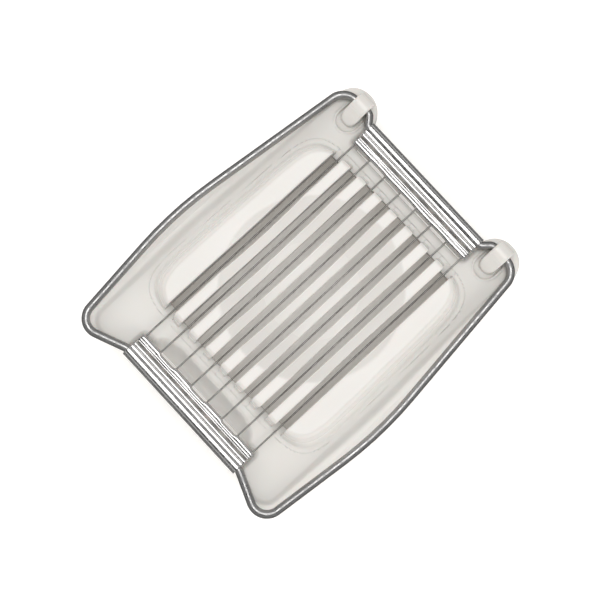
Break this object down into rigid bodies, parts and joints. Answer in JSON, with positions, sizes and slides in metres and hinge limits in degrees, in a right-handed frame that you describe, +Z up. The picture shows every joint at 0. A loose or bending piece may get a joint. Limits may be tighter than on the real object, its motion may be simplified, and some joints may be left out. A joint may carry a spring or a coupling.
{
  "type": "egg slicer",
  "caption": "Hand egg slicer: a moulded base with a slotted, dished rest, and a hinged wire frame strung with cutting wires between two rolled sheet bars.",
  "frame": {"origin": "centre of the footprint, on the surface the base stands on", "axes": "+Z up; +Y towards the hinge; +X to the right when the finger notch faces the viewer"},
  "size_m": [0.0814, 0.1002, 0.028],
  "materials": {
    "ivory_plastic": "glossy warm white moulded plastic",
    "chrome_wire": "bright chrome plating on round steel wire",
    "chrome_sheet": "bright chrome plating on thin rolled sheet, slightly uneven",
    "cutting_steel": "fine bright steel wire under tension"
  },
  "bodies": {
    "stand": {"base": "ivory_plastic"},
    "cutting_frame": {"frame_wire": "chrome_wire", "front_bar": "chrome_sheet", "rear_bar": "chrome_sheet", "cutting_wire_loop_1": "cutting_steel", "cutting_wire_loop_2": "cutting_steel", "cutting_wire_loop_3": "cutting_steel", "cutting_wire_loop_4": "cutting_steel"}
  },
  "joints": [
    {"name": "frame_hinge", "type": "hinge", "parent": "stand", "child": "cutting_frame", "pos_m": [0, 0.0452, 0.02155], "axis": [-1, 0, 0], "range_deg": [0, 180]}
  ]
}
